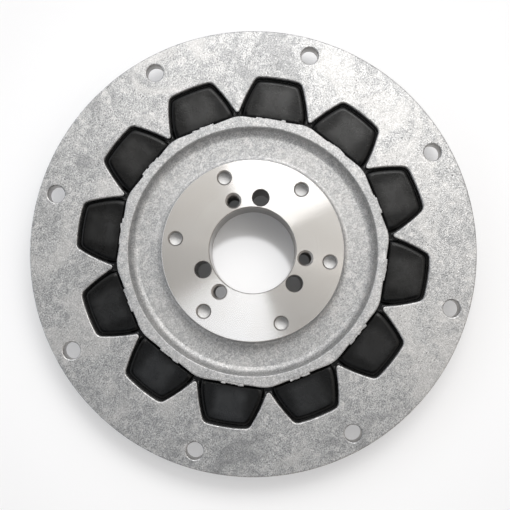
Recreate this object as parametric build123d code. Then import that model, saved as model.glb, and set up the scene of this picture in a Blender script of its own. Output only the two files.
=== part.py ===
from build123d import *
import math
import os

# Flexible disc coupling for an engine flywheel: a flange ring with twelve internal pockets,
# a rubber element whose cogs fill them, and a dished hub that the rubber is bonded to.
# Millimetres, +Z up along the shaft. The origin is where the shaft axis meets the hub's rear face.
# One cog and one pair of face holes lie on the X axis.

# Flange ring, to the flywheel fitting SAE J620, size 7.5 in
flange_diameter = 241.3
flange_thickness = 9.0
flange_edge_chamfer = 0.8
flange_bolt_to_edge = 9.525
flange_bolt_count = 8
flange_bolt_diameter = 9.2
flange_hole_chamfer = 0.3
flange_bolt_angle = 22.5

# Pockets of the ring, and the pointed teeth left between them
cog_count = 12
pocket_to_bolt_circle = 16.025
pocket_outer_width = 24.7
pocket_flank_bulge = 0.5
pocket_corner_round = 2.0
pocket_edge_chamfer = 0.5
tooth_length = 18.9
tooth_tip_width = 1.74
tooth_tip_round = 1.2

# Rubber element: full-height cogs, joined by a thinner band past the tooth tips
rubber_recess = 0.6
cog_edge_width = 1.8
cog_edge_drop = 1.4
band_recess = 3.2
tooth_tip_clearance = 0.3
cog_valley_width = 2.6
cog_corner_round = 2.5
edge_to_round = 0.9  # most that a sloping edge takes of the corner rounds it runs through

# Hub: twelve-sided rim that the rubber is bonded to, dished web and centre boss
hub_length = 28.0
face_above_flange = 8.0
face_chamfer = 0.3
bore_diameter = 46.0
bore_chamfer = 0.4
rim_to_tooth_tip = 4.8
rim_wall = 4.4
rim_corner_round = 15.0
rim_above_flange = 3.0
rim_below_flange = 3.0
rim_edge_round = 0.8
rim_wall_draft = 12.0
dish_width = 18.5
front_dish_depth = 6.5
rear_dish_depth = 2.0
dish_fillet = 4.0
rear_dish_fillet = 1.5
boss_wall_draft = 4.0
boss_fillet = 3.0

# Holes of the hub: plain and tapped through holes in pairs on one circle, tapped blind holes outside
hub_bolt_to_bore = 5.3
hub_bolt_count = 3
hub_bolt_diameter = 9.0
hub_bolt_chamfer = 0.3
hub_bolt_angle = 30.0
jack_tap_angle = 60.0
jack_tap_drill = 6.8
jack_tap_chamfer = 0.9
face_tap_to_edge = 7.0
face_tap_count = 6
face_tap_angle = 0.0
face_tap_drill = 6.8
face_tap_depth = 4.5
face_tap_chamfer = 0.7
drill_point_angle = 140.0

# Radii and heights that follow from the sizes above
flange_bolt_radius = flange_diameter / 2 - flange_bolt_to_edge
pocket_outer_radius = flange_bolt_radius - pocket_to_bolt_circle
tooth_tip_radius = pocket_outer_radius - tooth_length
rim_flats_radius = tooth_tip_radius - rim_to_tooth_tip
rim_inner_radius = rim_flats_radius - rim_wall
face_radius = rim_inner_radius - dish_width
hub_bolt_radius = bore_diameter / 2 + hub_bolt_to_bore
face_tap_radius = face_radius - face_tap_to_edge
face_z = hub_length
flange_top_z = face_z - face_above_flange
flange_bottom_z = flange_top_z - flange_thickness
rim_top_z = flange_top_z + rim_above_flange
rim_bottom_z = flange_bottom_z - rim_below_flange
cut_margin = 5.0
plane_tolerance = 0.001


def prism(outline, bottom_z, top_z):
    """Upright prism of an outline between two heights."""
    return extrude(Pos(0, 0, bottom_z) * outline, amount=top_z - bottom_z)


def at_radius(shape, radius, tolerance=0.05):
    """Corners of an outline that lie at one distance from the axis."""
    return [v for v in shape.vertices() if abs(math.hypot(v.X, v.Y) - radius) < tolerance]


def edges_at_height(solid, z):
    """Edges of a solid that lie in one horizontal plane."""
    return solid.edges().filter_by_position(Axis.Z, z - plane_tolerance, z + plane_tolerance)


def drilled_hole(diameter, chamfer_size, top_z, bottom_z, point_angle=180.0):
    """Drill's swept form below top_z, widened at the mouth; a point angle of 180 is a flat end."""
    radius = diameter / 2
    point_height = radius / math.tan(math.radians(point_angle / 2))
    section = Polyline(
        (0, top_z + cut_margin),
        (radius + chamfer_size, top_z + cut_margin),
        (radius + chamfer_size, top_z),
        (radius, top_z - chamfer_size),
        (radius, bottom_z),
        (0, bottom_z - max(point_height, 0.0)),
        close=True,
    )
    return revolve(Plane.XZ * make_face(section), Axis.Z)


def pocket_outline():
    """One pocket on the X axis: an outer side about the shaft axis and two bulging flanks."""
    half_width = pocket_outer_width / 2
    corner_x = math.sqrt(pocket_outer_radius**2 - half_width**2)
    mouth_angle = math.pi / cog_count - math.asin(tooth_tip_width / 2 / tooth_tip_radius)
    end_x = tooth_tip_radius * math.cos(mouth_angle)
    end_y = tooth_tip_radius * math.sin(mouth_angle)
    outer_side = ThreePointArc((corner_x, -half_width), (pocket_outer_radius, 0), (corner_x, half_width))
    left_flank = SagittaArc((corner_x, half_width), (end_x, end_y), -pocket_flank_bulge)
    mouth = Line((end_x, end_y), (end_x, -end_y))
    right_flank = SagittaArc((end_x, -end_y), (corner_x, -half_width), -pocket_flank_bulge)
    return make_face([outer_side, left_flank, mouth, right_flank])


def ring_opening():
    """The ring's opening: the circle of the tooth tips with the pockets round it, corners rounded."""
    opening = Circle(tooth_tip_radius) + PolarLocations(0, cog_count) * pocket_outline()
    opening = fillet(at_radius(opening, pocket_outer_radius), pocket_corner_round)
    return fillet(at_radius(opening, tooth_tip_radius), tooth_tip_round)


def hub_outline():
    """Twelve-sided outline of the hub's rim, its corners pointing at the tooth tips."""
    polygon = RegularPolygon(rim_flats_radius, cog_count, major_radius=False, rotation=180 / cog_count)
    return fillet(polygon.vertices(), rim_corner_round)


def cog_outline():
    """One cog on the X axis: the pocket down to the hub's flat, with a valley at each tooth tip."""
    valley_start = rim_flats_radius
    valley_end = tooth_tip_radius + cog_valley_width
    valley = Rectangle(valley_end - valley_start, cog_valley_width, align=(Align.MIN, Align.CENTER))
    valleys = PolarLocations(valley_start, cog_count, start_angle=180 / cog_count) * valley
    cogs = ring_opening() - hub_outline() - valleys
    cog = make_face(cogs.faces().sort_by(Axis.X)[-1].outer_wire().edges())
    valley_corners = cog.vertices().sort_by(lambda v: abs(v.Y) / v.X)[-4:]
    return fillet(valley_corners.sort_by_distance((0, 0, 0))[-2:], cog_corner_round)


def make_flange_ring():
    """Flat ring with its pockets and bolt holes, all edges broken."""
    disc = prism(Circle(flange_diameter / 2), flange_bottom_z, flange_top_z)
    disc = chamfer(disc.edges().filter_by(GeomType.CIRCLE), flange_edge_chamfer)
    ring = disc - prism(ring_opening(), flange_bottom_z - cut_margin, flange_top_z + cut_margin)
    opening_reach = (pocket_outer_radius + flange_diameter / 2) / 2
    ends = edges_at_height(ring, flange_bottom_z) + edges_at_height(ring, flange_top_z)
    opening_edges = [e for e in ends if e.bounding_box().diagonal < opening_reach]
    ring = chamfer(opening_edges, pocket_edge_chamfer)
    drill = drilled_hole(flange_bolt_diameter, flange_hole_chamfer, flange_top_z, flange_bottom_z)
    far_side = mirror(drill, Plane.XY.offset((flange_top_z + flange_bottom_z) / 2))
    holes = PolarLocations(flange_bolt_radius, flange_bolt_count, start_angle=flange_bolt_angle)
    return ring - holes * (drill + far_side)


def make_rubber_element():
    """Twelve cogs with sloping edges on the band that runs past the tooth tips."""
    cog_bottom_z = flange_bottom_z + rubber_recess
    cog_top_z = flange_top_z - rubber_recess
    edge_width = min(cog_edge_width, edge_to_round * min(pocket_corner_round, cog_corner_round))
    cog = prism(cog_outline(), cog_bottom_z, cog_top_z)
    for end_z in (cog_bottom_z, cog_top_z):
        end = cog.faces().filter_by_position(Axis.Z, end_z - plane_tolerance, end_z + plane_tolerance)[0]
        cog = chamfer(end.edges(), edge_width, cog_edge_drop, reference=end)
    band = Circle(tooth_tip_radius - tooth_tip_clearance) - hub_outline()
    element = prism(band, flange_bottom_z + band_recess, flange_top_z - band_recess)
    return element + PolarLocations(0, cog_count) * cog


def hub_section():
    """Half section of the hub, from the bore out past the rim, with both dishes."""
    front_floor_z = rim_top_z - front_dish_depth
    rear_floor_z = rim_bottom_z + rear_dish_depth
    wall_lean = math.tan(math.radians(rim_wall_draft))
    boss_lean = math.tan(math.radians(boss_wall_draft))
    bore_radius = bore_diameter / 2
    outside = rim_flats_radius + cut_margin
    front_boss = (face_radius + (face_z - front_floor_z) * boss_lean, front_floor_z)
    front_wall = (rim_inner_radius - front_dish_depth * wall_lean, front_floor_z)
    rear_boss = (face_radius + rear_floor_z * boss_lean, rear_floor_z)
    rear_wall = (rim_inner_radius - rear_dish_depth * wall_lean, rear_floor_z)
    points = [
        (bore_radius + bore_chamfer, 0),
        (face_radius - face_chamfer, 0),
        (face_radius, face_chamfer),
        rear_boss,
        rear_wall,
        (rim_inner_radius, rim_bottom_z),
        (outside, rim_bottom_z),
        (outside, rim_top_z),
        (rim_inner_radius, rim_top_z),
        front_wall,
        front_boss,
        (face_radius, face_z - face_chamfer),
        (face_radius - face_chamfer, face_z),
        (bore_radius + bore_chamfer, face_z),
        (bore_radius, face_z - bore_chamfer),
        (bore_radius, bore_chamfer),
    ]
    section = make_face(Polyline(*points, close=True))
    for corner, radius in (
        (front_wall, dish_fillet),
        (front_boss, boss_fillet),
        (rear_wall, rear_dish_fillet),
        (rear_boss, rear_dish_fillet),
    ):
        section = fillet(section.vertices().sort_by_distance(Vector(*corner))[0], radius)
    return section


def make_hub():
    """Turned section cut to the twelve-sided rim outline, with its three sets of holes."""
    turned = revolve(Plane.XZ * hub_section(), Axis.Z)
    rim = prism(hub_outline(), rim_bottom_z, rim_top_z)
    rim = fillet(edges_at_height(rim, rim_bottom_z) + edges_at_height(rim, rim_top_z), rim_edge_round)
    boss = Pos(0, 0, hub_length / 2) * Cylinder(rim_inner_radius, hub_length)
    hub = turned & (rim + boss)
    bolt_drill = drilled_hole(hub_bolt_diameter, hub_bolt_chamfer, face_z, -cut_margin)
    jack_drill = drilled_hole(jack_tap_drill, jack_tap_chamfer, face_z, -cut_margin)
    face_drill = drilled_hole(
        face_tap_drill, face_tap_chamfer, face_z, face_z - face_tap_depth, drill_point_angle
    )
    hub -= PolarLocations(hub_bolt_radius, hub_bolt_count, start_angle=hub_bolt_angle) * bolt_drill
    hub -= PolarLocations(hub_bolt_radius, hub_bolt_count, start_angle=jack_tap_angle) * jack_drill
    hub -= PolarLocations(face_tap_radius, face_tap_count, start_angle=face_tap_angle) * face_drill
    return hub


os.makedirs("parts", exist_ok=True)
export_step(make_flange_ring(), "parts/flange_ring.step")
export_step(make_rubber_element(), "parts/rubber_element.step")
export_step(make_hub(), "parts/hub.step")
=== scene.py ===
import math
import random

import bmesh
import bpy
from mathutils import Matrix, Vector


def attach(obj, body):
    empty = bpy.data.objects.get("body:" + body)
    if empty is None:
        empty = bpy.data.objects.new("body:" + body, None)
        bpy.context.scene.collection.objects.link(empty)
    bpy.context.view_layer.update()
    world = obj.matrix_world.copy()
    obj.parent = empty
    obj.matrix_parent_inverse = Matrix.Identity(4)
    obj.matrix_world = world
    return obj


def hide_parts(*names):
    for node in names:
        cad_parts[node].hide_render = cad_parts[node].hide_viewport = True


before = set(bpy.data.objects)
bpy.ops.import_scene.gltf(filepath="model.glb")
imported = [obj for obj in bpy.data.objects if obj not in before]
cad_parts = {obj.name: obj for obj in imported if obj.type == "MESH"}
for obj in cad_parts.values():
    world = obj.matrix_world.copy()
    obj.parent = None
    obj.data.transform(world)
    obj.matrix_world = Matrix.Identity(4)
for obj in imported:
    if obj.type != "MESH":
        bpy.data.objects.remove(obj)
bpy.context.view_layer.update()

# Sizes are in millimetres, as in the part's source, and each piece's mesh is scaled to metres at the
# end. Finishes, lamps and the floor are in metres. +Z is up along the shaft, +X runs through the
# middle of a cog, and the hub's rear face stands on the floor at z = 0. An arc that rounds a corner
# is given by how far from the corner it starts, and its steps. A form is found by its place or its
# level, within a small margin.
MM = 0.001
SAME_PLACE = 0.05
SAME_LEVEL = 0.01

# Flange ring
COGS = 12
PITCH = 2 * math.pi / COGS
FLANGE_RADIUS = 120.65
FLANGE_STEPS = 192
FLANGE_TOP, FLANGE_BOTTOM = 20.0, 11.0
FLANGE_BOLTS = 8
FLANGE_BOLT_CIRCLE = 111.125
FLANGE_BOLT_HOLE = 4.6
FLANGE_HOLE_STEPS = 32
FLANGE_EDGE_ARC = (0.7, 3)
MID_PLANE = (FLANGE_TOP + FLANGE_BOTTOM) / 2

# Pockets of the ring, and the pointed teeth left between them, whose tips' walls take the black rubber
# finish to some depth, as painted shade of the deep crevice there
POCKET_OUTER = 95.1
POCKET_HALF_WIDTH = 12.35
TOOTH_TIP = 76.2
TOOTH_HALF_WIDTH = 0.87
FLANK_BULGE = 0.5
FLANK_ARC = (7.0, 6)
OUTER_SIDE_ARC = (9.4, 8)
POCKET_CORNER_ARC = (2.0, 5)
TOOTH_TIP_ARC = (0.8, 3)
TOOTH_TIP_DEPTH = 3.0

# Hub. The rim's inner edge is worn bright from a little way off its corner.
BORE = 23.0
BORE_CHAMFER = 0.4
FACE = 28.0
FACE_RADIUS = 48.5
FACE_CHAMFER = 0.3
RIM_FLATS = 71.4
RIM_INNER = 67.0
RIM_TOP, RIM_BOTTOM = 23.0, 8.0
RIM_BLANK = 76.4
RIM_CORNER_RADIUS = 15.0
RIM_CORNER_ARC = (RIM_CORNER_RADIUS * math.tan(PITCH / 2), 6)
RIM_EDGE_ARC = (0.8, 3)
RIM_WORN_EDGE = (0.1, 0.4)
FRONT_FLOOR, REAR_FLOOR = 16.5, 10.0
BOSS_LEAN = math.tan(math.radians(4))
RIM_LEAN = math.tan(math.radians(12))
TURNED_STEPS = 96

# Holes of the hub: a hole is its radius and its countersink
HUB_BOLT_CIRCLE = 28.3
HUB_BOLT_TURN, JACK_TAP_TURN = 30, 60
HUB_BOLT_HOLE = (4.5, 0.3)
JACK_TAP_HOLE = (3.4, 0.9)
FACE_TAP_CIRCLE = 41.5
FACE_TAP_HOLE = (3.4, 0.7)
FACE_TAP_DEPTH = 4.5
FACE_TAP_POINT = 140
HOLE_STEPS = 40
DRILL_OVERRUN = 3.0

# Thread of the three tapped through holes: its groove's section as radii and heights
THREAD_PITCH = 1.25
THREAD_GROOVE = ((3.3, -0.53), (4.0, -0.10), (4.0, 0.10), (3.3, 0.53))
THREAD_OVERRUN = 1.5
THREAD_STEPS = 24

# Ragged pads on the rim's flats, as ranges: how far before and past the flat's middle a pad starts
# and ends, and each lump's width, reach past the flat, depth under the rim's top and turn. A lump's
# root is in the rim, and it overlaps the next one.
PAD_START, PAD_END = (4.5, 7.0), (3.5, 6.5)
LUMP_WIDTH, LUMP_REACH, LUMP_DEPTH = (1.4, 3.4), (0.4, 1.1), (0.12, 0.4)
LUMP_TURN = (-0.12, 0.12)
LUMP_ROOT, LUMP_OVERLAP, LUMP_HEIGHT = 1.7, 0.9, 3.2
LUMP_ARC = (0.45, 3)
LUMP_SEED = 12

# Rubber: a cog's border from the mid plane up, where each step shrinks the outline about a point,
# radially and sideways, and rises by so much
COG_CENTRE = 80.0
COG_PROFILE = (
    (1.0, 1.0, 1.3), (0.93, 0.962, 0.1), (0.975, 0.98, 1.15), (0.97, 0.972, 0.65),
    (0.965, 0.965, 0.35), (0.965, 0.96, 0.2), (0.965, 0.96, 0.12), (0.97, 0.97, 0.03),
)
# A cog's side runs past the tooth's tip to its shoulder, and on to its foot on the rim's rounded
# corner. Its heel is where the rim's flat starts.
COG_CORNER_ARC = (2.0, 4)
COG_SHOULDER_ARC = (1.2, 4)
VALLEY_HALF_WIDTH = 1.3
VALLEY_TO_SHOULDER = (0.9, 0.2)
FLAT_TO_FOOT, FOOT_HALF_WIDTH = 0.22, 17.75
FLAT_TO_HEEL, HEEL_HALF_WIDTH = 0.03, 15.1

# Rubber band that joins the cogs
BAND_THICKNESS = 2.4
BAND_RADIUS = 75.9
BAND_STEPS = 7 * COGS
FLAT_TO_BAND = 0.01

# Camera: the view's turn from +X, its tilts, where the middle of the flange's top lies along the
# camera's own axes, and its focal length in pixels of a square picture
VIEW_TURN = math.radians(51.3)
VIEW_TILT_X, VIEW_TILT_Y = -0.05538, -0.00898
FLANGE_IN_VIEW = (-1.157, 2.121, -480.0)
FOCAL_PIXELS, PICTURE_PIXELS = 890, 510
SENSOR_WIDTH = 36.0

# Lamps, with turns in degrees from the right of the camera's view: a key light in the form of a fan
# of narrow softboxes, and a faint warm one at the right. A level is a share of white on the floor.
LAMP_DISTANCE = 1.3
KEY_TURN = 72.5
KEY_SPREAD = 60
KEY_STRIPS = 9
KEY_STRIP_SIZE = (0.10, 0.50)
KEY_ELEVATION = 56
KEY_LEVEL = 0.36

# Studio, in shares of white: a ceiling with a dark side across from the key light and a pale one
# over it, walls, and a bright panel in the dark side for the turned face to show
CEILING_TURN = KEY_TURN - 10
CEILING_DARK = (0.015, 0.014, 0.013)
CEILING_PALE = (1.26, 1.23, 1.18)
WALL_LEFT_TURN = 155
WALL_LEFT = (1.34, 1.38, 1.45)
WALL_RIGHT = (0.80, 0.76, 0.72)
DARK_WALL_SHARE = 0.35
PANEL_TURN = 246
PANEL_HALF_TURN = 43
PANEL_WHITE = (1.03, 1.10, 1.20)

# Patch of light painted on the floor where the key light falls through the bore, in metres
PATCH_TURN = KEY_TURN + 184
PATCH_FROM_AXIS = 0.018


def view_direction(azimuth, elevation=0):
    """Unit vector at an azimuth from the right of the camera's view, and an elevation, in degrees."""
    turn, rise = math.radians(azimuth) - VIEW_TURN, math.radians(elevation)
    return Vector((math.cos(rise) * math.cos(turn), math.cos(rise) * math.sin(turn), math.sin(rise)))


# ---------------------------------------------------------------------------------- shader maths
class Signal:
    """A node's output that can be reckoned with: an expression on signals adds Math nodes."""

    def __init__(self, nodes, socket):
        self.nodes = nodes
        self.socket = socket

    def _math(self, operation, *values):
        return self.nodes.node("ShaderNodeMath", {"operation": operation}, dict(enumerate(values)))

    def __add__(self, other):
        return self._math("ADD", self, other)

    def __radd__(self, other):
        return self._math("ADD", other, self)

    def __sub__(self, other):
        return self._math("SUBTRACT", self, other)

    def __rsub__(self, other):
        return self._math("SUBTRACT", other, self)

    def __mul__(self, other):
        return self._math("MULTIPLY", self, other)

    def __rmul__(self, other):
        return self._math("MULTIPLY", other, self)

    def __truediv__(self, other):
        return self._math("DIVIDE", self, other)

    def __pow__(self, other):
        return self._math("POWER", self, other)

    def larger(self, other):
        return self._math("MAXIMUM", self, other)

    def size(self):
        return self._math("ABSOLUTE", self)

    def turn_from(self, along):
        """Angle of the direction whose shares are along and self."""
        return self._math("ARCTAN2", self, along)

    def wrapped(self, period):
        """Self less the nearest whole number of periods."""
        return self._math("WRAP", self, period / 2, -period / 2)


def distance(x, y):
    """Signal of how far a place lies from the shaft axis, or how long a level vector is."""
    return (x * x + y * y) ** 0.5


class Nodes:
    """Builds one shader tree, node by node."""

    def __init__(self, owner):
        owner.use_nodes = True
        self.tree = owner.node_tree
        self.tree.nodes.clear()

    def node(self, kind, settings=None, inputs=None, output=0):
        """Adds a node: its settings first, then the values or links of its sockets."""
        made = self.tree.nodes.new(kind)
        for key, value in (settings or {}).items():
            setattr(made, key, value)
        for key, value in (inputs or {}).items():
            if isinstance(value, Signal):
                self.tree.links.new(value.socket, made.inputs[key])
            else:
                made.inputs[key].default_value = value
        return Signal(self, made.outputs[output]) if len(made.outputs) else None

    def noise_at(self, place, scale, detail, roughness, distortion=0.0):
        """Noise of a given number of cells per metre, about 0.5 in the mean."""
        inputs = {"Vector": place, "Scale": scale, "Detail": detail}
        inputs.update({"Roughness": roughness, "Distortion": distortion})
        return self.node("ShaderNodeTexNoise", {}, inputs)

    def span(self, value, low, high, to_low=0.0, to_high=1.0):
        """Value eased from one range to another and held at its ends."""
        inputs = {"Value": value, "From Min": low, "From Max": high, "To Min": to_low, "To Max": to_high}
        return self.node("ShaderNodeMapRange", {"interpolation_type": "SMOOTHSTEP"}, inputs)

    def mix(self, factor, a, b, blend="MIX"):
        """Colours a and b mixed."""
        a, b = ((*c, 1.0) if isinstance(c, tuple) else c for c in (a, b))
        settings = {"data_type": "RGBA", "blend_type": blend}
        return self.node("ShaderNodeMix", settings, {0: factor, 6: a, 7: b}, output=2)

    def axes(self, place):
        """X, Y and Z of a vector."""
        split = self.node("ShaderNodeSeparateXYZ", {}, {0: place})
        return [Signal(self, out) for out in split.socket.node.outputs]

    def vector(self, x, y, z):
        """Vector of three shares."""
        return self.node("ShaderNodeCombineXYZ", {}, {0: x, 1: y, 2: z})

    def unseen_by_lamps(self):
        """1 for the rays that look at a background, straight or by a mirror or a pane, else 0."""
        path = self.node("ShaderNodeLightPath").socket.node
        camera, glossy, through = (
            Signal(self, path.outputs[f"Is {kind} Ray"]) for kind in ("Camera", "Glossy", "Transmission")
        )
        return camera.larger(glossy).larger(through)


class Finish(Nodes):
    """One procedural material on Object coordinates."""

    def __init__(self, name):
        self.material = bpy.data.materials.new(name)
        super().__init__(self.material)
        self.place = self.node("ShaderNodeTexCoord", output="Object")

    def noise(self, scale, detail, roughness, distortion=0.0):
        return self.noise_at(self.place, scale, detail, roughness, distortion)

    def bump(self, height, distance, strength):
        """Normal that follows a height of so many metres."""
        inputs = {"Height": height, "Distance": distance, "Strength": strength}
        return self.node("ShaderNodeBump", {}, inputs)

    def surface(self, **sockets):
        """Ends the tree in one Principled shader; names are the sockets' with _ for spaces."""
        inputs = {key.replace("_", " "): value for key, value in sockets.items()}
        shader = self.node("ShaderNodeBsdfPrincipled", {}, inputs)
        self.node("ShaderNodeOutputMaterial", {}, {"Surface": shader})
        return self.material


def grey(value, warmth=0.0):
    """Linear colour of an sRGB grey of 0 to 255, made warmer or cooler."""
    share = value / 255
    level = share / 12.92 if share <= 0.04045 else ((share + 0.055) / 1.055) ** 2.4
    return (level * (1 + warmth), level, level * (1 - warmth))


# ------------------------------------------------------------------------------------- finishes
def cast_finish(name, tone, contrast, cloudiness, speck_share, metal, roughness):
    """Sand-cast aluminium: a grainy skin with glints, clouded, and with dark specks in clusters."""
    f = Finish(name)

    def shade_of(step, warmth=0.0):
        return grey(tone + contrast * step, warmth)

    clouds = f.noise(32, 4, 0.6, 0.8)
    mottle = f.noise(320, 4, 0.7, 0.6)
    grain = f.noise(1250, 3, 0.75)
    fine = f.noise(2600, 2, 0.6)
    pits = f.noise(1000, 3, 0.8, 0.5)
    skin = f.mix(f.span(grain, 0.38, 0.62), shade_of(-42), shade_of(28))
    skin = f.mix(f.span(fine, 0.3, 0.7) * 0.3, skin, shade_of(28))
    skin = f.mix(f.span(mottle, 0.48, 0.66) * 0.6, skin, shade_of(-38, -0.02))
    skin = f.mix(f.span(mottle, 0.46, 0.34) * 0.6, skin, shade_of(38, 0.02))
    skin = f.mix(f.span(clouds, 0.50, 0.64) * cloudiness, skin, shade_of(26, 0.02))
    skin = f.mix(f.span(clouds, 0.46, 0.34) * cloudiness, skin, shade_of(-34, -0.01))
    clusters = f.span(f.noise(45, 3, 0.7), 0.42, 0.6)
    specks = f.span(pits, 0.58, 0.66) * (0.2 + 0.8 * clusters)
    skin = f.mix(specks * speck_share, skin, shade_of(-110))
    glints = f.span(f.noise(1150, 2, 0.7), 0.64, 0.70)
    skin = f.mix(glints * 0.7, skin, grey(236))
    height = grain * 0.6 + fine * 0.3 + mottle * 0.9 - specks * 0.3
    return f.surface(
        Base_Color=skin,
        Metallic=metal,
        Roughness=roughness - 0.18 * glints + 0.12 * specks,
        Normal=f.bump(height, 0.00016 * contrast, 0.85),
    )


def turned_finish():
    """Faced aluminium: fine rings round the shaft, so that highlights fan out."""
    f = Finish("turned_face")
    x, y, _ = f.axes(f.place)
    rings = f.vector(distance(x, y), 0.0, 0.0)
    lines = f.noise_at(rings, 4000, 1, 0.5)
    broad = f.noise_at(rings, 420, 3, 0.6)
    haze = f.noise(30, 3, 0.6)
    tone = f.mix(f.span(lines, 0.35, 0.65), grey(217, 0.025), grey(229, 0.015))
    tone = f.mix(f.span(haze, 0.4, 0.7) * 0.3, tone, grey(209, 0.05))
    return f.surface(
        Base_Color=tone,
        Metallic=1.0,
        Roughness=0.18 + 0.02 * broad + 0.02 * haze,
        Anisotropic=1.0,
        Anisotropic_Rotation=0.25,
        Normal=f.bump(lines, 0.000003, 0.5),
    )


def bored_finish():
    """Bored and drilled walls: bright metal with tool rings along the hole."""
    f = Finish("bored_wall")
    _, _, z = f.axes(f.place)
    rings = f.noise_at(f.vector(0.0, 0.0, z), 5000, 3, 0.65)
    return f.surface(
        Base_Color=f.mix(f.span(rings, 0.3, 0.7), grey(146, 0.05), grey(170, 0.04)),
        Metallic=1.0,
        Roughness=0.24 + 0.12 * rings,
        Normal=f.bump(rings, 0.00003, 0.5),
    )


def drilled_end_finish():
    """Bottom of the blind holes: a satin cone left by the drill's point."""
    f = Finish("drilled_end")
    fine = f.noise(1800, 2, 0.6)
    return f.surface(
        Base_Color=f.mix(f.span(fine, 0.3, 0.7), grey(222), grey(246)),
        Metallic=0.15,
        Roughness=0.6,
        Normal=f.bump(fine, 0.00005, 0.6),
    )


def rubber_finish():
    """Moulded rubber: nearly black, with a faint dusty bloom; bloom and streaks are stronger in the
    middle of each cog as a painted sheen, which leaves the cog's borders in painted shade.
    """
    f = Finish("black_rubber")
    x, y, _ = f.axes(f.place)
    radius = distance(x, y)
    off_middle = (y.turn_from(x).wrapped(PITCH) * radius).size()
    ragged = f.noise(130, 3, 0.6, 0.6) * 0.006
    # Middle of each cog: its lighter tone is a painted sheen that leaves the borders in painted shade;
    # its coat is glossier there too.
    sheen_middle = (
        f.span(off_middle + ragged, 0.008, 0.0145, 1.0, 0.0)
        * f.span(radius + ragged, 0.075, 0.081)
        * f.span(radius + ragged, 0.090, 0.097, 1.0, 0.0)
    )
    blotch = f.noise(90, 4, 0.6, 0.4)
    fine = f.noise(1400, 3, 0.6)
    streaks = f.noise(240, 3, 0.7, 1.5)
    dust = f.span(f.noise(70, 4, 0.7, 0.8), 0.46, 0.66)
    tone = f.mix(f.span(blotch, 0.35, 0.7), grey(1, -0.1), grey(3, -0.1))
    tone = f.mix(f.span(streaks, 0.5, 0.72) * (0.15 + 0.25 * sheen_middle), tone, grey(22, -0.08))
    tone = f.mix(f.span(fine, 0.55, 0.8) * 0.2, tone, grey(32, -0.06))
    tone = f.mix(dust * (0.05 + 0.25 * sheen_middle), tone, grey(34, -0.04))
    return f.surface(
        Base_Color=tone,
        Specular_IOR_Level=0.19,
        Roughness=0.2 + 0.12 * blotch + 0.14 * dust,
        Coat_Weight=0.07 + sheen_middle * (0.25 + 0.65 * blotch),
        Coat_Roughness=0.27,
        Normal=f.bump(fine + blotch * 1.5 + streaks, 0.00009, 0.7),
    )


def floor_finish():
    """White table top, darker far off. To the eye a share of its white is even: more beside the part,
    small under it, where that share and the floor's colour are turned down as painted shadow, and large
    in the painted patch of light through the bore, with a fainter painted patch in the hub's holes."""
    f = Finish("white_floor")
    x, y, _ = f.axes(f.place)
    radius = distance(x, y)
    patch = view_direction(PATCH_TURN) * PATCH_FROM_AXIS
    from_patch = distance(x - patch.x, y - patch.y)
    seen = f.unseen_by_lamps()
    outside = f.span(radius, 0.096, 0.101)
    in_bore = f.span(radius, 0.022, 0.0235, 1.0, 0.0)
    # Painted shadow under the part: less even white and a darker colour there
    shaded_under_part = f.span(radius, 0.0235, 0.0245) * (1 - outside)
    # Painted light: the patch through the bore, and a fainter one seen through the hub's holes
    painted_beam = (
        f.span(from_patch, 0.0245, 0.0285, 1.0, 0.0) * in_bore * 0.53
        + f.span(from_patch, 0.017, 0.022, 1.0, 0.0) * shaded_under_part * 0.2
    )
    even = seen * (0.08 - 0.03 * shaded_under_part + 0.20 * outside + painted_beam)
    lit = 1 - seen * (0.08 + 0.35 * shaded_under_part + 0.23 * outside + 0.9 * painted_beam)
    far = f.span(radius, 0.135, 0.2)
    return f.surface(
        Base_Color=f.mix(lit * (1 - 0.08 * far), (0.0, 0.0, 0.0), (0.94, 0.94, 0.945)),
        Emission_Color=f.mix(even, (0.0, 0.0, 0.0), (1.0, 1.0, 1.01)),
        Emission_Strength=1.0,
        Roughness=0.9,
        Specular_IOR_Level=0.1,
    )


# --------------------------------------------------------------------------------- mesh helpers
def bare_object(name, bm):
    """Turns a bmesh into an object and frees it."""
    mesh = bpy.data.meshes.new(name)
    bm.to_mesh(mesh)
    bm.free()
    made = bpy.data.objects.new(name, mesh)
    bpy.context.scene.collection.objects.link(made)
    return made


def add_piece(name, bm, materials, node):
    """Turns a bmesh in millimetres into a piece of the coupling that stands for a CAD node."""
    bmesh.ops.transform(bm, matrix=Matrix.Scale(MM, 4), verts=bm.verts)
    piece = bare_object(name, bm)
    for material in materials:
        piece.data.materials.append(material)
    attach(piece, "root")
    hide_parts(node)


def join_into(whole, part):
    """Adds one bmesh to another and frees it."""
    mesh = bpy.data.meshes.new("joined")
    part.to_mesh(mesh)
    part.free()
    whole.from_mesh(mesh)
    bpy.data.meshes.remove(mesh)


def combine(body, other, operation):
    """Boolean of two bmeshes; both are used up and the result is returned."""
    target, tool = bare_object("target", body), bare_object("tool", other)
    step = target.modifiers.new("step", "BOOLEAN")
    step.operation = operation
    step.solver = "EXACT"
    step.object = tool
    evaluated = target.evaluated_get(bpy.context.evaluated_depsgraph_get())
    result = bmesh.new()
    result.from_mesh(evaluated.to_mesh())
    for spent in (target, tool):
        bpy.data.objects.remove(spent)
    return result


def shade(bm, sharp_angle):
    """Smooth faces with sharp creases; level faces stay flat."""
    for face in bm.faces:
        face.smooth = abs(face.normal.z) < 0.9999
    limit = math.radians(sharp_angle)
    for edge in bm.edges:
        edge.smooth = edge.is_manifold and edge.calc_face_angle(0) < limit


def bevel(bm, geom, offset, segments, affect):
    """Rounds corners or edges with arcs."""
    bmesh.ops.bevel(
        bm, geom=geom, offset=offset, offset_type="OFFSET", affect=affect,
        segments=segments, profile=0.5, material=-1, clamp_overlap=False,
    )


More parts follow.
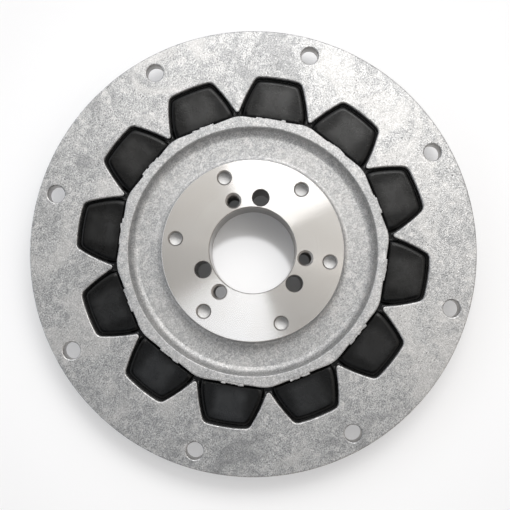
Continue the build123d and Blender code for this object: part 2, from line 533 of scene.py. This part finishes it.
def spin_round(bm, geom, steps):
    """Turns a section through a full circle about the shaft axis."""
    bmesh.ops.spin(
        bm, geom=geom, cent=(0, 0, 0), axis=(0, 0, 1), dvec=(0, 0, 0),
        angle=2 * math.pi, steps=steps, use_merge=True, use_duplicate=False,
    )


def turn_by_cogs(bm, count):
    """Turns a form about the shaft axis by a number of cogs."""
    bmesh.ops.rotate(bm, verts=bm.verts, matrix=Matrix.Rotation(count * PITCH, 3, "Z"))


def add_circle(bm, radius, steps, place=(0, 0)):
    """Circle of edges at z = 0."""
    verts = bmesh.ops.create_circle(bm, segments=steps, radius=radius)["verts"]
    bmesh.ops.translate(bm, verts=verts, vec=(*place, 0))


def raise_between(bm, bottom, top):
    """Makes a solid between two heights out of a flat form at z = 0."""
    bmesh.ops.recalc_face_normals(bm, faces=bm.faces)
    bmesh.ops.translate(bm, verts=bm.verts, vec=(0, 0, bottom))
    raised = bmesh.ops.extrude_face_region(bm, geom=bm.faces[:], use_keep_orig=True)["geom"]
    corners = [e for e in raised if isinstance(e, bmesh.types.BMVert)]
    bmesh.ops.translate(bm, verts=corners, vec=(0, 0, top - bottom))
    bmesh.ops.recalc_face_normals(bm, faces=bm.faces)


def polar(radius, angle):
    """Point at a radius and an angle in degrees."""
    return radius * math.cos(math.radians(angle)), radius * math.sin(math.radians(angle))


# ----------------------------------------------------------------------------------- flange ring
def pocket_corners():
    """Straight corners of half a pocket on the X axis: its outer side, corner, flank and mouth."""
    corner = (math.sqrt(POCKET_OUTER**2 - POCKET_HALF_WIDTH**2), POCKET_HALF_WIDTH)
    mouth = polar(TOOTH_TIP, math.degrees(PITCH / 2 - math.asin(TOOTH_HALF_WIDTH / TOOTH_TIP)))
    lean = math.atan2(mouth[1] - corner[1], mouth[0] - corner[0])
    out = 2 * FLANK_BULGE
    bulge = (
        (corner[0] + mouth[0]) / 2 + out * math.sin(lean),
        (corner[1] + mouth[1]) / 2 - out * math.cos(lean),
    )
    return [(POCKET_OUTER**2 / corner[0], 0), corner, bulge, mouth]


def both_halves(half):
    """Whole outline from the half on one side of the X axis; its first point lies on the axis."""
    return [(x, -y) for x, y in reversed(half[1:])] + half


def make_ring_opening():
    """Flat face with the outline of the ring's opening: pockets with teeth between them."""
    bm = bmesh.new()
    outer, corner, bulge, mouth = pocket_corners()
    outline = []
    for index in range(COGS):
        turn = Matrix.Rotation(index * PITCH, 3, "Z")
        pocket = both_halves([outer, corner, bulge, mouth])
        outline += [bm.verts.new(turn @ Vector((x, y, 0))) for x, y in pocket]
    bm.faces.new(outline)

    def in_each_pocket(point):
        radius = math.hypot(*point)
        angle = abs(math.atan2(point[1], point[0]))
        found = []
        for v in bm.verts:
            off = abs((math.atan2(v.co.y, v.co.x) + PITCH / 2) % PITCH - PITCH / 2)
            if abs(v.co.length - radius) < SAME_PLACE and abs(off - angle) * radius < SAME_PLACE:
                found.append(v)
        return found

    bevel(bm, in_each_pocket(bulge), *FLANK_ARC, "VERTICES")
    bevel(bm, in_each_pocket(outer), *OUTER_SIDE_ARC, "VERTICES")
    bevel(bm, in_each_pocket(corner), *POCKET_CORNER_ARC, "VERTICES")
    bevel(bm, in_each_pocket(mouth), *TOOTH_TIP_ARC, "VERTICES")
    return bm


def make_flange():
    """Cast ring with its pockets and bolt holes, every edge rounded. Its finishes are cast, bored for
    the rim and the holes, and rubber for the walls of the teeth's tips, where the black rubber paints
    shade into the deep crevice."""
    bm = make_ring_opening()
    bmesh.ops.delete(bm, geom=bm.faces[:], context="FACES_ONLY")
    add_circle(bm, FLANGE_RADIUS, FLANGE_STEPS)
    for index in range(FLANGE_BOLTS):
        place = polar(FLANGE_BOLT_CIRCLE, (index + 0.5) * 360 / FLANGE_BOLTS)
        add_circle(bm, FLANGE_BOLT_HOLE, FLANGE_HOLE_STEPS, place)
    bmesh.ops.triangle_fill(bm, edges=bm.edges[:], use_beauty=True, normal=(0, 0, 1))
    raise_between(bm, FLANGE_BOTTOM, FLANGE_TOP)

    def square_edges(on_rim):
        return [
            e for e in bm.edges
            if e.is_manifold and e.calc_face_angle(0) > 1
            and (e.verts[0].co.xy.length > FLANGE_RADIUS - 0.5) == on_rim
        ]

    for on_rim in (False, True):
        bevel(bm, square_edges(on_rim), *FLANGE_EDGE_ARC, "EDGES")
    bmesh.ops.recalc_face_normals(bm, faces=bm.faces)
    for face in bm.faces:
        radius = face.calc_center_median().xy.length
        levelness = abs(face.normal.z)
        bored_wall = radius > FLANGE_BOLT_CIRCLE - FLANGE_BOLT_HOLE - 0.1 and levelness < 0.5
        # Painted shade: the walls of the teeth's tips take the black rubber finish to darken the crevice
        # there
        shaded_tip_wall = radius < TOOTH_TIP + TOOTH_TIP_DEPTH and levelness < 0.3
        face.material_index = 1 if bored_wall else 2 if shaded_tip_wall else 0
    shade(bm, sharp_angle=32)
    return bm


# ------------------------------------------------------------------------------- rubber element
def make_cog():
    """One rubber cog on the X axis with a rolled border at both ends."""
    bm = bmesh.new()
    outer, corner, bulge, _ = pocket_corners()
    half_turn = PITCH / 2
    along, across = VALLEY_TO_SHOULDER
    shoulder = (
        TOOTH_TIP * math.cos(half_turn) + VALLEY_HALF_WIDTH * math.sin(half_turn) + along,
        TOOTH_TIP * math.sin(half_turn) - VALLEY_HALF_WIDTH * math.cos(half_turn) - across,
    )
    foot = (RIM_FLATS - FLAT_TO_FOOT, FOOT_HALF_WIDTH)
    heel = (RIM_FLATS + FLAT_TO_HEEL, HEEL_HALF_WIDTH)
    outline = both_halves([outer, corner, bulge, shoulder, foot, heel])
    bm.faces.new([bm.verts.new((x, y, MID_PLANE)) for x, y in outline])

    def on_both_sides(point):
        x, y = point
        return [v for v in bm.verts if math.hypot(v.co.x - x, abs(v.co.y) - y) < SAME_PLACE]

    bevel(bm, on_both_sides(bulge), *FLANK_ARC, "VERTICES")
    bevel(bm, on_both_sides(outer), *OUTER_SIDE_ARC, "VERTICES")
    bevel(bm, on_both_sides(corner), *COG_CORNER_ARC, "VERTICES")
    bevel(bm, on_both_sides(shoulder), *COG_SHOULDER_ARC, "VERTICES")
    cap = bm.faces[:][0]
    if cap.normal.z < 0:
        bmesh.ops.reverse_faces(bm, faces=[cap])
    about_centre = Matrix.Translation((-COG_CENTRE, 0, 0))
    for radially, sideways, height in COG_PROFILE:
        raised = bmesh.ops.extrude_face_region(bm, geom=[cap])["geom"]
        if cap.is_valid:
            bmesh.ops.delete(bm, geom=[cap], context="FACES_ONLY")
        cap = next(e for e in raised if isinstance(e, bmesh.types.BMFace))
        bmesh.ops.scale(bm, vec=(radially, sideways, 1), space=about_centre, verts=cap.verts)
        bmesh.ops.translate(bm, vec=(0, 0, height), verts=cap.verts)
    bmesh.ops.mirror(
        bm, geom=bm.verts[:] + bm.edges[:] + bm.faces[:],
        matrix=Matrix.Translation((0, 0, -MID_PLANE)), axis="Z", merge_dist=0.001,
    )
    bmesh.ops.remove_doubles(bm, verts=bm.verts, dist=0.002)
    bmesh.ops.recalc_face_normals(bm, faces=bm.faces)
    return bm


def make_band():
    """The thinner ring of rubber from the hub's flats to just inside the tooth tips."""
    bm = bmesh.new()
    add_circle(bm, (RIM_FLATS + FLAT_TO_BAND) / math.cos(PITCH / 2), COGS)
    turn_by_cogs(bm, 0.5)
    bevel(bm, bm.verts[:], *RIM_CORNER_ARC, "VERTICES")
    add_circle(bm, BAND_RADIUS, BAND_STEPS)
    bmesh.ops.bridge_loops(bm, edges=bm.edges[:])
    raise_between(bm, MID_PLANE - BAND_THICKNESS / 2, MID_PLANE + BAND_THICKNESS / 2)
    return bm


def make_rubber():
    """The twelve cogs on the thinner band that joins them past the tooth tips."""
    cogs = bmesh.new()
    for index in range(COGS):
        cog = make_cog()
        turn_by_cogs(cog, index)
        join_into(cogs, cog)
    whole = combine(cogs, make_band(), "UNION")
    shade(whole, sharp_angle=50)
    return whole


# ------------------------------------------------------------------------------------------ hub
def make_drill(hole, place, bottom=-DRILL_OVERRUN, point_angle=180):
    """Swept form of a drill with a countersink at the hub's face."""
    bm = bmesh.new()
    radius, chamfer = hole
    point = radius / math.tan(math.radians(point_angle / 2))
    top = FACE + DRILL_OVERRUN
    profile = [
        (0, top), (radius + chamfer, top), (radius + chamfer, FACE),
        (radius, FACE - chamfer), (radius, bottom), (0, bottom - point),
    ]
    verts = [bm.verts.new((r, 0, z)) for r, z in profile]
    edges = [bm.edges.new(pair) for pair in zip(verts, verts[1:])]
    spin_round(bm, verts + edges, HOLE_STEPS)
    bmesh.ops.remove_doubles(bm, verts=bm.verts, dist=1e-4)
    bmesh.ops.recalc_face_normals(bm, faces=bm.faces)
    bmesh.ops.translate(bm, verts=bm.verts, vec=(*place, 0))
    return bm


def make_thread(place):
    """Helical groove of a thread that runs past both faces of the hub."""
    bm = bmesh.new()
    turns = math.ceil((FACE + 2 * THREAD_OVERRUN) / THREAD_PITCH)
    section = [bm.verts.new((r, 0, z - THREAD_OVERRUN)) for r, z in THREAD_GROOVE]
    bmesh.ops.spin(
        bm, geom=[bm.faces.new(section)], cent=(0, 0, 0), axis=(0, 0, 1),
        dvec=(0, 0, THREAD_PITCH / THREAD_STEPS), angle=2 * math.pi * turns,
        steps=THREAD_STEPS * turns, use_merge=False, use_duplicate=False,
    )
    bmesh.ops.recalc_face_normals(bm, faces=bm.faces)
    bmesh.ops.translate(bm, verts=bm.verts, vec=(*place, 0))
    return bm


def make_hub_blank():
    """Closed ring turned from the hub's half section; a corner is a radius and a height, and has an
    arc where it is rounded."""
    bm = bmesh.new()
    corners = (
        # rear face, recess and rear of the rim
        (BORE + BORE_CHAMFER, 0),
        (FACE_RADIUS - FACE_CHAMFER, 0),
        (FACE_RADIUS, FACE_CHAMFER),
        (FACE_RADIUS + REAR_FLOOR * BOSS_LEAN, REAR_FLOOR, 1.4, 3),
        (RIM_INNER - (REAR_FLOOR - RIM_BOTTOM) * RIM_LEAN, REAR_FLOOR, 1.3, 3),
        (RIM_INNER, RIM_BOTTOM, 0.35, 2),
        (RIM_BLANK, RIM_BOTTOM),
        # front of the rim, dish and turned face
        (RIM_BLANK, RIM_TOP),
        (RIM_INNER, RIM_TOP, 0.5, 3),
        (RIM_INNER - (RIM_TOP - FRONT_FLOOR) * RIM_LEAN, FRONT_FLOOR, 3.24, 6),
        (FACE_RADIUS + (FACE - FRONT_FLOOR) * BOSS_LEAN, FRONT_FLOOR, 2.8, 5),
        (FACE_RADIUS, FACE - FACE_CHAMFER),
        (FACE_RADIUS - FACE_CHAMFER, FACE),
        # bore
        (BORE + BORE_CHAMFER, FACE),
        (BORE, FACE - BORE_CHAMFER),
        (BORE, BORE_CHAMFER),
    )
    section = [bm.verts.new((radius, 0, height)) for radius, height, *_ in corners]
    bm.faces.new(section)
    for vert, (_, _, *arc) in zip(section, corners):
        if arc:
            bevel(bm, [vert], *arc, "VERTICES")
    bmesh.ops.delete(bm, geom=bm.faces[:], context="FACES_ONLY")
    spin_round(bm, bm.verts[:] + bm.edges[:], TURNED_STEPS)
    bmesh.ops.recalc_face_normals(bm, faces=bm.faces)
    return bm


def make_hub_body():
    """Turned hub with its rim cut to twelve flats and their corners and edges rounded."""
    bm = make_hub_blank()
    for index in range(COGS):
        outward = Vector((*polar(1, index * 360 / COGS), 0))
        bmesh.ops.bisect_plane(
            bm, geom=bm.verts[:] + bm.edges[:] + bm.faces[:], dist=1e-4,
            plane_co=outward * RIM_FLATS, plane_no=outward, clear_outer=True,
        )
        bmesh.ops.holes_fill(bm, edges=[e for e in bm.edges if len(e.link_faces) == 1], sides=0)
    bmesh.ops.recalc_face_normals(bm, faces=bm.faces)

    def rim_edges(reach, level):
        return [
            e for e in bm.edges
            if all(v.co.xy.length > reach for v in e.verts)
            and (abs(e.verts[0].co.z - e.verts[1].co.z) < 1e-4) == level
        ]

    corners = rim_edges(RIM_FLATS / math.cos(PITCH / 2) - 0.4, level=False)
    bevel(bm, corners, *RIM_CORNER_ARC, "EDGES")
    outline = [e for e in rim_edges(RIM_FLATS - 0.1, level=True) if e.calc_face_angle(0) > 1]
    bevel(bm, outline, *RIM_EDGE_ARC, "EDGES")
    bmesh.ops.recalc_face_normals(bm, faces=bm.faces)
    return bm


def make_lumps(chance):
    """Ragged pads of cast metal in the middle of the rim's flats, just under its top."""
    lumps = bmesh.new()
    for index in range(COGS):
        start = -chance.uniform(*PAD_START)
        while start < chance.uniform(*PAD_END):
            width = chance.uniform(*LUMP_WIDTH)
            reach = chance.uniform(*LUMP_REACH)
            lump = bmesh.new()
            bmesh.ops.create_cube(lump, size=1.0)
            size = (reach + LUMP_ROOT, width + LUMP_OVERLAP, LUMP_HEIGHT)
            bmesh.ops.scale(lump, verts=lump.verts, vec=size)
            bevel(lump, lump.edges[:], *LUMP_ARC, "EDGES")
            turn = Matrix.Rotation(chance.uniform(*LUMP_TURN), 3, "Z")
            bmesh.ops.rotate(lump, verts=lump.verts, matrix=turn)
            height = RIM_TOP - LUMP_HEIGHT / 2 - chance.uniform(*LUMP_DEPTH)
            place = (RIM_FLATS + (reach - LUMP_ROOT) / 2, start + width / 2, height)
            bmesh.ops.translate(lump, verts=lump.verts, vec=place)
            turn_by_cogs(lump, index)
            join_into(lumps, lump)
            start += width
    return lumps


def hub_face_finish(face, holes):
    """Number of the finish of one of the hub's faces: 0 cast, 1 turned, 2 bored, 3 drilled end."""
    x, y, z = face.calc_center_median()
    radius = math.hypot(x, y)
    tap_radius, _ = FACE_TAP_HOLE
    below_tap = FACE - FACE_TAP_DEPTH - z
    if SAME_LEVEL < below_tap < tap_radius and abs(radius - FACE_TAP_CIRCLE) < tap_radius:
        return 3
    at_end = abs(face.normal.z) > 0.99 and (z > FACE - SAME_LEVEL or z < SAME_LEVEL)
    in_hole = any(
        math.hypot(x - place[0], y - place[1]) < sum(hole) + SAME_PLACE for place, hole in holes
    )
    in_bore = radius < BORE + BORE_CHAMFER + SAME_PLACE
    nearest, farthest = RIM_WORN_EDGE
    worn = all(nearest < away < farthest for away in (radius - RIM_INNER, RIM_TOP - z))
    if in_bore or worn or (in_hole and not at_end):
        return 2
    edge_cut = radius < FACE_RADIUS and z > FACE - FACE_CHAMFER
    return 1 if at_end or edge_cut else 0


def make_hub():
    """The hub with its holes and threads. Its finishes are cast, turned, bored and drilled end."""
    drills, threads = bmesh.new(), bmesh.new()
    holes = []
    for index in range(3):
        plain = polar(HUB_BOLT_CIRCLE, HUB_BOLT_TURN + 120 * index)
        tapped = polar(HUB_BOLT_CIRCLE, JACK_TAP_TURN + 120 * index)
        join_into(drills, make_drill(HUB_BOLT_HOLE, plain))
        join_into(drills, make_drill(JACK_TAP_HOLE, tapped))
        join_into(threads, make_thread(tapped))
        holes += [(plain, HUB_BOLT_HOLE), (tapped, JACK_TAP_HOLE)]
    for index in range(6):
        blind = polar(FACE_TAP_CIRCLE, 60 * index)
        join_into(drills, make_drill(FACE_TAP_HOLE, blind, FACE - FACE_TAP_DEPTH, FACE_TAP_POINT))
        holes.append((blind, FACE_TAP_HOLE))
    bm = combine(make_hub_body(), drills, "DIFFERENCE")
    bm = combine(bm, threads, "DIFFERENCE")
    bmesh.ops.remove_doubles(bm, verts=bm.verts, dist=1e-5)
    join_into(bm, make_lumps(random.Random(LUMP_SEED)))
    for face in bm.faces:
        face.material_index = hub_face_finish(face, holes)
    shade(bm, sharp_angle=28)
    return bm


# ------------------------------------------------------------------------------ floor and light
def add_floor():
    """Plain white table top, 8 m wide."""
    bm = bmesh.new()
    bmesh.ops.create_grid(bm, x_segments=4, y_segments=4, size=4.0)
    floor = bare_object("floor", bm)
    floor.data.materials.append(floor_finish())


def add_softbox(name, azimuth, elevation, size, level, tint=(1, 1, 1)):
    """Rectangular soft light aimed at the flange's top; its level is a share of white on the floor."""
    direction = view_direction(azimuth, elevation)
    lamp = bpy.data.lights.new(name, "AREA")
    lamp.shape = "RECTANGLE"
    lamp.size, lamp.size_y = size
    lamp.energy = level * math.pi**2 * LAMP_DISTANCE**2 / direction.z
    lamp.color = tint
    holder = bpy.data.objects.new(name, lamp)
    holder.location = direction * LAMP_DISTANCE + Vector((0, 0, FLANGE_TOP * MM))
    holder.rotation_euler = direction.to_track_quat("Z", "Y").to_euler()
    bpy.context.scene.collection.objects.link(holder)


def add_lamps():
    """The key light's fan of softboxes, and the faint warm one at the right."""
    for number in range(KEY_STRIPS):
        turn = KEY_TURN + (number / (KEY_STRIPS - 1) - 0.5) * KEY_SPREAD
        add_softbox(f"key_{number}", turn, KEY_ELEVATION, KEY_STRIP_SIZE, KEY_LEVEL / KEY_STRIPS)
    warm_white = (1.0, 0.93, 0.86)
    add_softbox("right_wall", -3, elevation=58, size=(0.12, 0.40), level=0.012, tint=warm_white)


def add_world():
    """Studio round the coupling, whose metal shows its walls, its ceiling and the bright panel."""
    world = bpy.data.worlds.new("studio")
    bpy.context.scene.world = world
    w = Nodes(world)
    x, y, up = w.axes(w.node("ShaderNodeTexCoord", output="Generated"))

    def share_towards(azimuth):
        towards = view_direction(azimuth)
        return x * towards.x + y * towards.y

    to_left, to_key = share_towards(WALL_LEFT_TURN), share_towards(CEILING_TURN)
    walls = w.mix(w.span(to_left, -0.5, 0.6), WALL_RIGHT, WALL_LEFT)
    walls = w.mix(w.span(to_key, -0.3, -0.9) * DARK_WALL_SHARE, walls, CEILING_DARK)
    ceiling = w.mix(w.span(to_key, -0.17, 0.25), CEILING_DARK, CEILING_PALE)
    room = w.mix(w.span(up, 0.5, 0.8), walls, ceiling)
    to_panel = share_towards(PANEL_TURN) / distance(x, y).larger(0.001)
    edge = math.cos(math.radians(PANEL_HALF_TURN))
    in_panel = w.span(to_panel, edge - 0.02, edge + 0.02) * w.span(up, 0.90, 0.94)
    panel = w.mix(in_panel, (0.0, 0.0, 0.0), PANEL_WHITE)
    shown = w.mix(1.0, room, panel, "ADD")
    background = w.node("ShaderNodeBackground", {}, {"Color": shown, "Strength": 1.0})
    w.node("ShaderNodeOutputWorld", {}, {"Surface": background})


def add_camera():
    """Camera above the coupling, a little off the shaft line."""
    tilt = Matrix.Rotation(VIEW_TILT_X, 3, "X") @ Matrix.Rotation(VIEW_TILT_Y, 3, "Y")
    to_view = tilt @ Matrix.Rotation(VIEW_TURN, 3, "Z")
    from_view = to_view.transposed()
    camera = bpy.data.cameras.new("camera")
    camera.sensor_fit = "HORIZONTAL"
    camera.sensor_width = SENSOR_WIDTH
    camera.lens = FOCAL_PIXELS / PICTURE_PIXELS * SENSOR_WIDTH
    camera.clip_start = 0.01
    holder = bpy.data.objects.new("camera", camera)
    bpy.context.scene.collection.objects.link(holder)
    place = Vector((0, 0, FLANGE_TOP)) - from_view @ Vector(FLANGE_IN_VIEW)
    holder.matrix_world = Matrix.Translation(place * MM) @ from_view.to_4x4()
    bpy.context.scene.camera = holder


cast_flange = cast_finish(
    "cast_flange", tone=170, contrast=1.05, cloudiness=0.5, speck_share=0.8, metal=0.92, roughness=0.46
)
cast_hub = cast_finish(
    "cast_hub", tone=180, contrast=0.8, cloudiness=0.2, speck_share=0.45, metal=0.85, roughness=0.56
)
turned = turned_finish()
bored = bored_finish()
rubber = rubber_finish()
hub_finishes = [cast_hub, turned, bored, drilled_end_finish()]

add_piece("rubber_cogs", make_rubber(), [rubber], "rubber_element")
add_piece("hub_casting", make_hub(), hub_finishes, "hub")
add_piece("flange_casting", make_flange(), [cast_flange, bored, rubber], "flange_ring")

add_floor()
add_lamps()
add_world()
add_camera()
bpy.context.scene.view_settings.view_transform = "Standard"
